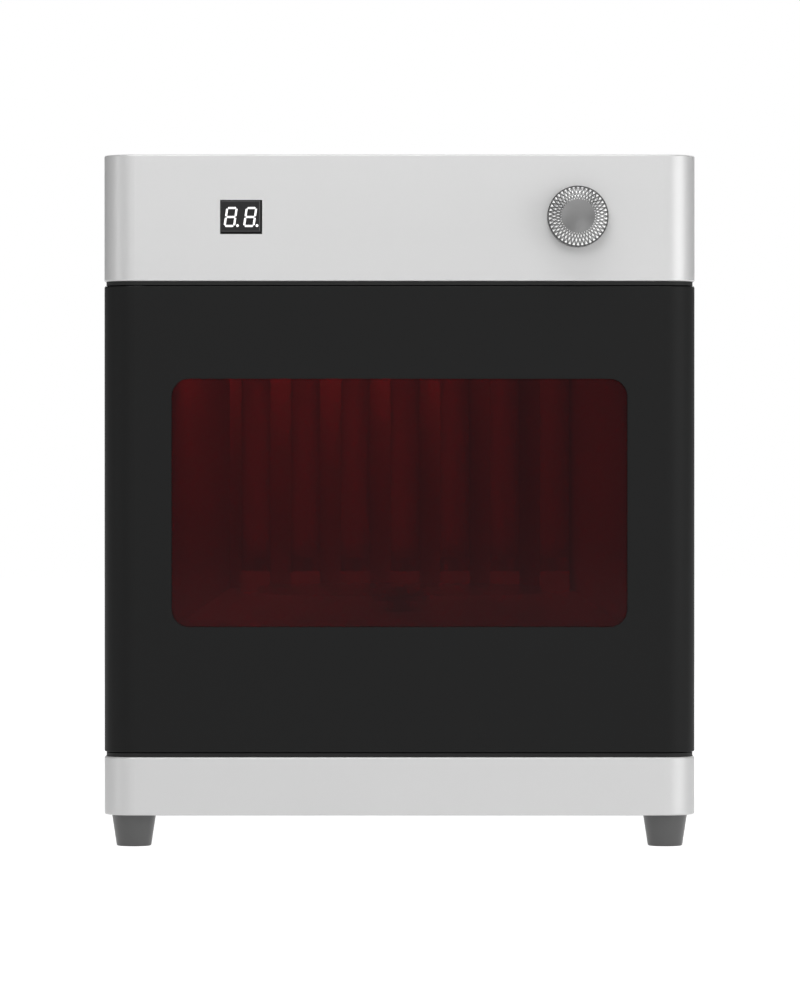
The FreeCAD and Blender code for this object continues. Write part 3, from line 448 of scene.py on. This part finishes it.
def join(pieces, name):
    fresh()
    for piece in pieces:
        piece.select_set(True)
    bpy.context.view_layer.objects.active = pieces[0]
    bpy.ops.object.join()
    pieces[0].name = name
    pieces[0].data.name = name
    return pieces[0]


# Knob
def knob_rings(sizes):
    """Rings of the knob from its shaft bore to its dish, as radius and distance along Y."""
    foot = KNOB_HIGH.y
    crown_y = KNOB_LOW.y
    radius = (KNOB_HIGH.x - KNOB_LOW.x) / 2
    shoulder = foot - sizes.collar
    crown_foot = shoulder - 0.3 * MM
    cavity_end = foot - sizes.cavity
    bore_end = cavity_end - 4.5 * MM
    rings = [(sizes.bore, bore_end), (sizes.bore, cavity_end), (radius - sizes.wall, cavity_end),
             (radius - sizes.wall, foot), (radius - 0.15 * MM, foot), (radius, foot - 0.15 * MM),
             (radius, shoulder), (sizes.crown + 0.12 * MM, crown_foot)]
    rows = 40
    for row in range(rows + 1):
        share = row / rows
        ring = sizes.crown * (sizes.dish / sizes.crown) ** share
        rings.append((ring, crown_foot + (crown_y - crown_foot) * (sizes.crown - ring) / (sizes.crown - sizes.dish)))
    rings.append((sizes.dish - 0.2 * MM, crown_y + 0.02 * MM))
    ball = (sizes.dish ** 2 + sizes.dish_depth ** 2) / (2 * sizes.dish_depth)
    for row in range(1, 8):
        ring = (sizes.dish - 0.2 * MM) * (1 - row / 8)
        rings.append((ring, crown_y + math.sqrt(ball ** 2 - ring ** 2) - (ball - sizes.dish_depth)))
    return rings


def knurl_height(angle, radius, sizes):
    """Height of the knurl at a place, from 0 in a groove to 1 on the tip of a pyramid."""
    heights = []
    for way in (-1, 1):
        turn = sizes.grooves * (angle + way * sizes.lead * math.log(radius / sizes.crown)) / (2 * math.pi)
        heights.append(1.0 - abs(2.0 * (turn - math.floor(turn)) - 1.0))
    return min(1.0, 1.6 * min(heights))


def model_knob(sizes):
    rings = knob_rings(sizes)
    radius, along = rings[0]
    fresh()
    bpy.ops.mesh.primitive_circle_add(
        vertices=sizes.grooves * sizes.facets, radius=radius, fill_type="NOTHING",
        location=(KNOB_CENTRE[0], along, KNOB_CENTRE[2]), rotation=(math.pi / 2, 0.0, 0.0))
    knob = take("knurled_knob")
    edit(knob)
    bpy.ops.mesh.select_all(action="SELECT")
    for ring, place in rings[1:]:
        step_ring(KNOB_CENTRE, place - along, ring / radius)
        radius, along = ring, place
    bpy.ops.mesh.extrude_region_move(TRANSFORM_OT_translate={"value": (0.0, 0.0, 0.0)})
    bpy.ops.mesh.merge(type="CENTER")
    choose(knob, lambda spot: abs(spot.y - rings[0][1]) < 0.01 * MM and knob_radius(spot) < rings[0][0] * 1.01)
    bpy.ops.mesh.extrude_region_move(TRANSFORM_OT_translate={"value": (0.0, 0.0, 0.0)})
    bpy.ops.mesh.merge(type="CENTER")
    bpy.ops.mesh.select_all(action="SELECT")
    bpy.ops.mesh.remove_doubles(threshold=0.001 * MM)
    bpy.ops.mesh.normals_make_consistent(inside=False)
    fresh()
    grooves = knob.vertex_groups.new(name="grooves")
    for vertex in knob.data.vertices:
        radius = knob_radius(vertex.co)
        on_crown = vertex.co.y < rings[7][1] + 0.01 * MM and sizes.dish * 1.01 < radius
        if on_crown:
            angle = math.atan2(vertex.co.z - KNOB_CENTRE[2], vertex.co.x - KNOB_CENTRE[0])
            grooves.add([vertex.index], 1.0 - knurl_height(angle, radius, sizes), "REPLACE")
    finish_modifier(knob, "DISPLACE", strength=-sizes.depth, mid_level=0.0, vertex_group="grooves",
                    direction="NORMAL")
    smooth(knob, math.radians(35))
    return knob


def knob_radius(spot):
    return math.hypot(spot.x - KNOB_CENTRE[0], spot.z - KNOB_CENTRE[2])


def knob_finish(name, colour, centre, sizes):
    """Turned aluminium: knurl grooves painted dark as painted shade, knurl tips painted lighter as a painted
    highlight, a painted-shade ring on the lip, turning rings and a matt blast in the dish.
    """
    nodes = new_finish(name)
    from_centre = nodes.node("ShaderNodeVectorMath", {"operation": "SUBTRACT"}, {0: nodes.place(), 1: centre})
    across = nodes.node("ShaderNodeSeparateXYZ", None, {0: from_centre}, output=0)
    up = nodes.node("ShaderNodeSeparateXYZ", None, {0: from_centre}, output=2)
    radius = nodes.maths("SQRT", across * across + up * up, 0.0)
    turn = nodes.maths("ARCTAN2", up, across) * (sizes.grooves / (2 * math.pi))
    drift = nodes.maths("LOGARITHM", radius * (1.0 / sizes.crown), math.e) * (
        sizes.grooves * sizes.lead / (2 * math.pi))
    heights = [1.0 - nodes.maths("ABSOLUTE", nodes.maths("FRACT", turn + way * drift, 0.0) * 2.0 - 1.0, 0.0)
               for way in (-1.0, 1.0)]
    height = nodes.maths("MINIMUM", heights[0], heights[1])
    rings = nodes.maths("SINE", radius * (2 * math.pi / (0.18 * MM)), 0.0)
    grain = nodes.noise(0.2 * MM, 3.0)
    clouds = nodes.noise(8 * MM, 2.0)
    on_crown = (radius > sizes.dish) * (radius < sizes.crown)
    bare = nodes.tone(clouds, [channel * 0.46 for channel in colour[:3]], 0.06)
    # Painted light: 0 in a groove of the knurl, which is painted dark as painted shade, to 1 on a tip, which is
    # painted lighter than the metal as a painted highlight.
    groove_shade_tip_highlight = nodes.node("ShaderNodeMapRange", None, {0: height, 1: 0.06, 2: 0.38})
    knurl = nodes.mix(groove_shade_tip_highlight, (0.20, 0.20, 0.20, 1.0), [min(1.0, channel * 1.5) for channel in colour[:3]] + [1.0])
    depth = nodes.node("ShaderNodeSeparateXYZ", None, {0: nodes.place()}, output=1)
    # Painted shade: the front-facing lip round the crown is painted dark to stand in for the shadow that the crown
    # casts there.
    lip_painted_shade = (radius > sizes.crown + 0.15 * MM) * (depth < KNOB_HIGH.y - sizes.collar + 0.35 * MM)
    shade = nodes.mix(lip_painted_shade, nodes.mix(on_crown, bare, knurl), (0.10, 0.10, 0.10, 1.0))
    rough = grain * 0.10 + 0.46 - on_crown * 0.24
    return nodes.done(nodes.surface(shade, rough, 1.0, nodes.bump(rings * 0.3 + grain, 0.003 * MM)))


# Display
def segment(name, place, length, upright, sizes, depth):
    """One lit bar with pointed ends, drawn out of a hexagon."""
    fresh()
    bpy.ops.mesh.primitive_circle_add(vertices=6, radius=sizes.stroke / 2 / math.cos(math.pi / 6),
                                      fill_type="NGON", rotation=(0.0, 0.0, math.pi / 2))
    bar = take(name)
    edit(bar)
    reach = (length - sizes.stroke / math.cos(math.pi / 6)) / 2
    for side in (-1, 1):
        choose(bar, lambda spot: spot.x * side > 0.0)
        bpy.ops.transform.translate(value=(side * reach, 0.0, 0.0))
    choose(bar, lambda centre: True, "FACE")
    bpy.ops.mesh.extrude_region_move(TRANSFORM_OT_translate={"value": (0.0, 0.0, depth)})
    bpy.ops.mesh.select_all(action="SELECT")
    bpy.ops.mesh.normals_make_consistent(inside=False)
    fresh()
    turn = math.pi / 2 if upright else 0.0
    bar.data.transform(Matrix.Rotation(turn, 4, "Z"))
    bar.data.transform(Matrix.Translation((place[0], place[1], 0.0)))
    return bar


def digit_pieces(number, sizes, depth):
    """Seven bars and a point about the middle of one digit, lying flat and leaning."""
    across = (sizes.width - sizes.stroke) / 2
    up = (sizes.height - sizes.stroke) / 2
    flat_length = 2 * across - sizes.gap
    tall_length = up - sizes.gap
    bars = [((0.0, level * up), flat_length, False) for level in (-1, 0, 1)]
    bars += [((side * across, half * up / 2), tall_length, True) for side in (-1, 1) for half in (-1, 1)]
    pieces = [segment("bar_%d_%d" % (number, index), place, length, upright, sizes, depth)
              for index, (place, length, upright) in enumerate(bars)]
    lean = Matrix.Identity(4)
    lean[0][1] = math.tan(sizes.slant)
    for piece in pieces:
        piece.data.transform(lean)
    fresh()
    bpy.ops.mesh.primitive_cylinder_add(vertices=24, radius=sizes.dot, depth=depth,
                                        location=(sizes.dot_offset, sizes.dot - sizes.height / 2, depth / 2))
    dot = take("dot_%d" % number)
    return pieces + [dot]


def model_digits(sizes):
    pieces = []
    depth = 0.05 * MM
    middle = (DISPLAY_LOW.z + DISPLAY_HIGH.z) / 2
    upright = Matrix.Rotation(math.pi / 2, 4, "X")
    for number in range(2):
        across = DISPLAY_LOW.x + sizes.inset + number * sizes.pitch
        for piece in digit_pieces(number, sizes, depth):
            piece.data.transform(upright)
            piece.data.transform(Matrix.Translation((across, DISPLAY_LOW.y - 0.46 * MM, middle)))
            pieces.append(piece)
    return join(pieces, "display_digits")


def model_display_face(sizes):
    """Smoked face plate with bevelled edges, set to the upper left of its cut-out."""
    low = Vector((DISPLAY_LOW.x, DISPLAY_LOW.y, DISPLAY_LOW.z + sizes.low_gap))
    high = Vector((DISPLAY_HIGH.x - sizes.right_gap, DISPLAY_LOW.y, DISPLAY_HIGH.z))
    middle = (low + high) / 2
    fresh()
    bpy.ops.mesh.primitive_plane_add(size=1.0, location=middle, rotation=(math.pi / 2, 0.0, 0.0))
    plate = bpy.context.object
    plate.scale = (high.x - low.x, high.z - low.z, 1.0)
    plate = take("display_face")
    edit(plate)
    choose(plate, lambda centre: True, "FACE")
    bpy.ops.mesh.extrude_region_move(TRANSFORM_OT_translate={"value": (0.0, -0.08 * MM, 0.0)})
    bpy.ops.mesh.inset(thickness=sizes.bevel, depth=0.0)
    bpy.ops.transform.translate(value=(0.0, -0.38 * MM, 0.0))
    bpy.ops.mesh.select_all(action="SELECT")
    bpy.ops.mesh.normals_make_consistent(inside=False)
    fresh()
    return plate


# Marks on the mains rocker
def model_rocker_marks():
    """Raised bar and ring on the two halves of the rocker."""
    pivot = Vector(next(joint["pos_m"] for joint in frame["joints"] if joint["name"] == "power_switch"))
    fresh()
    bpy.ops.mesh.primitive_cube_add(size=1.0, location=(0.0, 0.0, 0.0))
    bar = bpy.context.object
    bar.scale = (0.6 * MM, 0.2 * MM, 2.6 * MM)
    bar = take("mark_on")
    finish_modifier(bar, "BEVEL", width=0.06 * MM, segments=1)
    fresh()
    bpy.ops.mesh.primitive_torus_add(major_radius=1.2 * MM, minor_radius=0.22 * MM, major_segments=32,
                                     minor_segments=8, rotation=(math.pi / 2, 0.0, 0.0))
    ring = take("mark_off")
    slope = math.atan(0.8 / 5.9)
    for piece, side in ((bar, 1), (ring, -1)):
        piece.data.transform(Matrix.Rotation(side * slope, 4, "X"))
        piece.data.transform(Matrix.Translation((0.0, 1.53 * MM, side * 3.2 * MM)))
        piece.data.transform(Matrix.Rotation(math.radians(-10), 4, "X"))
        piece.data.transform(Matrix.Translation(pivot))
    marks = join([bar, ring], "rocker_marks")
    return marks


# Stage
def lamp(name, azimuth, elevation, distance, power, width, height):
    """Soft light aimed at the middle of the object. Azimuth 0 is at the camera and turns to the right."""
    middle = (cad_box[0] + cad_box[1]) / 2
    turn = math.radians(azimuth)
    rise = math.radians(elevation)
    way = Vector((math.sin(turn) * math.cos(rise), -math.cos(turn) * math.cos(rise), math.sin(rise)))
    fresh()
    bpy.ops.object.light_add(type="AREA", location=middle + way * distance,
                             rotation=way.to_track_quat("Z", "Y").to_euler())
    light = bpy.context.object
    light.name = name
    light.data.shape = "RECTANGLE"
    light.data.size = width
    light.data.size_y = height
    light.data.energy = power
    return light


def chamber_lamp(power):
    """Soft light inside the chamber, high at the front on the left and out of sight from the front."""
    low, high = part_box("liner_ceiling")
    fresh()
    spot = (low.x + 0.33 * (high.x - low.x), low.y + 0.22 * (high.y - low.y), low.z - 14 * MM)
    bpy.ops.object.light_add(type="AREA", location=spot, rotation=(math.radians(50), 0.0, 0.0))
    light = bpy.context.object
    light.name = "chamber_light"
    light.data.shape = "RECTANGLE"
    light.data.size = 0.6 * (high.x - low.x)
    light.data.size_y = 16 * MM
    light.data.energy = power


def seen_directly(nodes):
    """1 for camera, mirror and see-through rays, 0 for the light on the object."""
    paths = [nodes.node("ShaderNodeLightPath", output=name)
             for name in ("Is Camera Ray", "Is Glossy Ray", "Is Transmission Ray")]
    total = paths[0] + paths[1] + paths[2]
    return nodes.node("ShaderNodeMath", {"operation": "MINIMUM"}, {0: total, 1: 1.0})


def make_floor():
    fresh()
    bpy.ops.mesh.primitive_plane_add(size=1.0, location=(0.0, 0.0, 0.0))
    floor = bpy.context.object
    floor.scale = (14.0, 14.0, 1.0)
    floor = take("floor")
    nodes = new_finish("white_floor")
    grain = nodes.noise(30 * MM, 2.0)
    lit = nodes.node("ShaderNodeBsdfDiffuse", None, {"Color": nodes.tone(grain, (0.46, 0.46, 0.46), 0.02)})
    glow = nodes.node("ShaderNodeEmission", None, {"Color": (1, 1, 1, 1), "Strength": seen_directly(nodes) * 0.92})
    paint(floor, nodes.done(nodes.node("ShaderNodeAddShader", None, {0: lit, 1: glow})))


def make_world(sizes):
    """White wherever it is seen, a plain grey where it lights."""
    world = bpy.data.worlds.new("studio")
    bpy.context.scene.world = world
    nodes = Nodes(world)
    paths = [nodes.node("ShaderNodeLightPath", output=name)
             for name in ("Is Camera Ray", "Is Glossy Ray", "Is Transmission Ray")]
    way = nodes.node("ShaderNodeTexCoord", output="Generated")
    depth = nodes.node("ShaderNodeSeparateXYZ", None, {0: way}, output=1)
    behind = nodes.node("ShaderNodeMapRange", {"interpolation_type": "SMOOTHSTEP"},
                        {0: depth, 1: 0.85, 2: 0.99, 3: sizes.mirror, 4: 1.0})
    mirrored = nodes.node("ShaderNodeMath", {"operation": "MINIMUM"}, {0: paths[1] + paths[2], 1: 1.0})
    level = mirrored * (behind - sizes.surround) + sizes.surround + paths[0] * (1.0 - sizes.surround)
    background = nodes.node("ShaderNodeBackground", None, {"Color": (1, 1, 1, 1), "Strength": level})
    nodes.node("ShaderNodeOutputWorld", None, {"Surface": background})


def make_camera(sizes):
    target = Vector((sizes.aim_across, FRONT, sizes.aim))
    eye = Vector((sizes.aim_across, FRONT - sizes.distance, sizes.eye))
    fresh()
    bpy.ops.object.camera_add(location=eye, rotation=(target - eye).to_track_quat("-Z", "Y").to_euler())
    camera = bpy.context.object
    camera.data.sensor_width = 36.0
    camera.data.lens = camera.data.sensor_width * (target - eye).length / sizes.view_height
    camera.data.clip_start = 0.05
    camera.data.clip_end = 50.0
    bpy.context.scene.camera = camera


# Operators
class CURING_OT_housings(bpy.types.Operator):
    """Coats the top housing and the base tray in satin silver"""

    bl_idname = "curing.housings"
    bl_label = "Silver housings"

    def execute(self, context):
        colours = context.scene.curing_colours
        dress("silver_paint", powder_coat("silver_paint", solid(colours.silver), 0.42, 0.35))
        return {"FINISHED"}


class CURING_OT_cabinet(bpy.types.Operator):
    """Coats the door, the posts and the panels in dark paint, and the decks in near-black paint that is partly
    painted shade in the grooves
    """

    bl_idname = "curing.cabinet"
    bl_label = "Dark cabinet"

    def execute(self, context):
        colours = context.scene.curing_colours
        dress("charcoal_paint", powder_coat("charcoal_paint", solid(colours.charcoal), 0.5, sheen=0.16))
        # Partly painted shade: the decks are darker than their own dark grey, so that the grooves above and below the
        # door, where the decks show, look shaded.
        dress("deck_paint", powder_coat("deck_paint", (0.018, 0.018, 0.018, 1.0), 0.55, sheen=0.25))
        return {"FINISHED"}


class CURING_OT_window(bpy.types.Operator):
    """Makes the door window of dark red acrylic"""

    bl_idname = "curing.window"
    bl_label = "Red window"

    def execute(self, context):
        colours = context.scene.curing_colours
        dress("red_acrylic", tinted_pane("red_acrylic", solid(colours.window), solid(colours.window_body), 0.6, 0.08))
        return {"FINISHED"}


class CURING_OT_chamber(bpy.types.Operator):
    """Finishes the reflectors, the lamps and the glass platter"""

    bl_idname = "curing.chamber"
    bl_label = "Chamber"

    def execute(self, context):
        low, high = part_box("uv_lamp_1")
        dress("reflector", metal("reflector", (0.66, 0.66, 0.67), 0.36, stretch=(1.0, 1.0, 0.08), metallic=0.4))
        dress("lamp_glass", frosted_tube("lamp_glass", low.z, high.z))
        dress("lamp_cap", metal("lamp_cap", (0.74, 0.74, 0.75), 0.28))
        dress("white_plastic", moulded("white_plastic", (0.66, 0.66, 0.64), 0.45))
        dress("platter_glass", tinted_pane("platter_glass", (0.90, 0.94, 0.93, 1.0), (0.32, 0.36, 0.35, 1.0), 0.88, 0.05))
        return {"FINISHED"}


class CURING_OT_fittings(bpy.types.Operator):
    """Finishes the feet, the seals, the screws, the bushes and what is inside the housings"""

    bl_idname = "curing.fittings"
    bl_label = "Fittings"

    def execute(self, context):
        colours = context.scene.curing_colours
        dress("foot_rubber", moulded("foot_rubber", solid(colours.rubber), 0.36, 0.7 * MM, 0.01 * MM, 0.7))
        dress("seal_foam", moulded("seal_foam", (0.02, 0.02, 0.02, 1.0), 0.9, 0.8 * MM, 0.12 * MM, 0.1))
        dress("black_plastic", moulded("black_plastic", (0.02, 0.02, 0.02, 1.0), 0.45))
        dress("steel", metal("steel", (0.55, 0.55, 0.56), 0.34))
        dress("brass", metal("brass", (0.70, 0.50, 0.20), 0.28))
        dress("board", circuit_board("board"))
        return {"FINISHED"}


class CURING_OT_knob(bpy.types.Operator):
    """Models the knurled control knob with its dished face"""

    bl_idname = "curing.knob"
    bl_label = "Control knob"

    def execute(self, context):
        sizes = context.scene.curing_knob
        finish = knob_finish("knob_metal", solid(context.scene.curing_colours.knob), KNOB_CENTRE, sizes)
        dress("knob_metal", finish)
        knob = model_knob(sizes)
        paint(knob, finish)
        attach(knob, "knob_shaft")
        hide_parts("knob")
        return {"FINISHED"}


class CURING_OT_display(bpy.types.Operator):
    """Models the two lit digits and their smoked face plate"""

    bl_idname = "curing.display"
    bl_label = "Display"

    def execute(self, context):
        sizes = context.scene.curing_display
        dress("display_face", moulded("display_case", (0.004, 0.004, 0.004, 1.0), 0.5, sheen=0.1))
        face = model_display_face(sizes)
        paint(face, moulded("display_face", (0.012, 0.012, 0.013, 1.0), 0.18, 2 * MM, 0.001 * MM, 0.5))
        digits = model_digits(sizes)
        nodes = new_finish("lit_digits")
        haze = nodes.noise(2 * MM, 2.0)
        glow = nodes.tone(haze, solid(context.scene.curing_colours.digits), 0.02)
        paint(digits, nodes.done(nodes.surface((0.8, 0.8, 0.8, 1.0), 0.4, 0.0, None,
                                               **{"Emission Color": glow, "Emission Strength": 0.75})))
        for piece in (face, digits):
            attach(piece, "root")
        return {"FINISHED"}


class CURING_OT_rocker_marks(bpy.types.Operator):
    """Models the raised on and off marks of the mains rocker"""

    bl_idname = "curing.rocker_marks"
    bl_label = "Rocker marks"

    def execute(self, context):
        marks = model_rocker_marks()
        paint(marks, moulded("rocker_marks", (0.72, 0.72, 0.70, 1.0), 0.45))
        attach(marks, "rocker")
        return {"FINISHED"}


class CURING_OT_stage(bpy.types.Operator):
    """Sets the floor, the lamps, the room light and the camera"""

    bl_idname = "curing.stage"
    bl_label = "Stage"

    def execute(self, context):
        sizes = context.scene.curing_stage
        context.scene.view_settings.view_transform = "Standard"
        make_floor()
        make_world(sizes)
        lamp("key", -10.0, 30.0, 2.0, sizes.key_power, 1.1, 0.9)
        lamp("top", 0.0, 66.0, 1.6, sizes.top_power, 1.4, 0.7)
        lamp("right", 57.0, 4.0, 1.5, sizes.right_power, 1.05, 1.4)
        lamp("left", -64.0, 4.0, 1.5, sizes.left_power, 0.25, 1.4)
        lamp("fill", 4.0, 8.0, 3.6, sizes.fill_power, 3.0, 2.4)
        lamp("back", 160.0, 24.0, 2.4, sizes.back_power, 1.6, 1.0)
        chamber_lamp(sizes.chamber_power)
        make_camera(sizes)
        return {"FINISHED"}


OPERATORS = (CURING_OT_housings, CURING_OT_cabinet, CURING_OT_window, CURING_OT_chamber, CURING_OT_fittings,
             CURING_OT_knob, CURING_OT_display, CURING_OT_rocker_marks, CURING_OT_stage)
GROUPS = {"curing_colours": CuringColours, "curing_knob": CuringKnob, "curing_display": CuringDisplay,
          "curing_stage": CuringStage}


class CURING_PT_panel(bpy.types.Panel):
    """Lists the steps that dress the chamber"""

    bl_idname = "CURING_PT_panel"
    bl_label = "Curing chamber"
    bl_space_type = "VIEW_3D"
    bl_region_type = "UI"
    bl_category = "Curing chamber"

    def draw(self, context):
        for operator in OPERATORS:
            self.layout.operator(operator.bl_idname)


def register():
    for group in GROUPS.values():
        bpy.utils.register_class(group)
    for name, group in GROUPS.items():
        setattr(bpy.types.Scene, name, bpy.props.PointerProperty(type=group))
    for operator in OPERATORS:
        bpy.utils.register_class(operator)
    bpy.utils.register_class(CURING_PT_panel)


def unregister():
    bpy.utils.unregister_class(CURING_PT_panel)
    for operator in reversed(OPERATORS):
        bpy.utils.unregister_class(operator)
    for name, group in GROUPS.items():
        delattr(bpy.types.Scene, name)
        bpy.utils.unregister_class(group)


def main():
    register()
    bpy.ops.curing.housings()
    bpy.ops.curing.cabinet()
    bpy.ops.curing.window()
    bpy.ops.curing.chamber()
    bpy.ops.curing.fittings()
    bpy.ops.curing.knob()
    bpy.ops.curing.display()
    bpy.ops.curing.rocker_marks()
    bpy.ops.curing.stage()
    fresh()


if __name__ == "__main__":
    main()
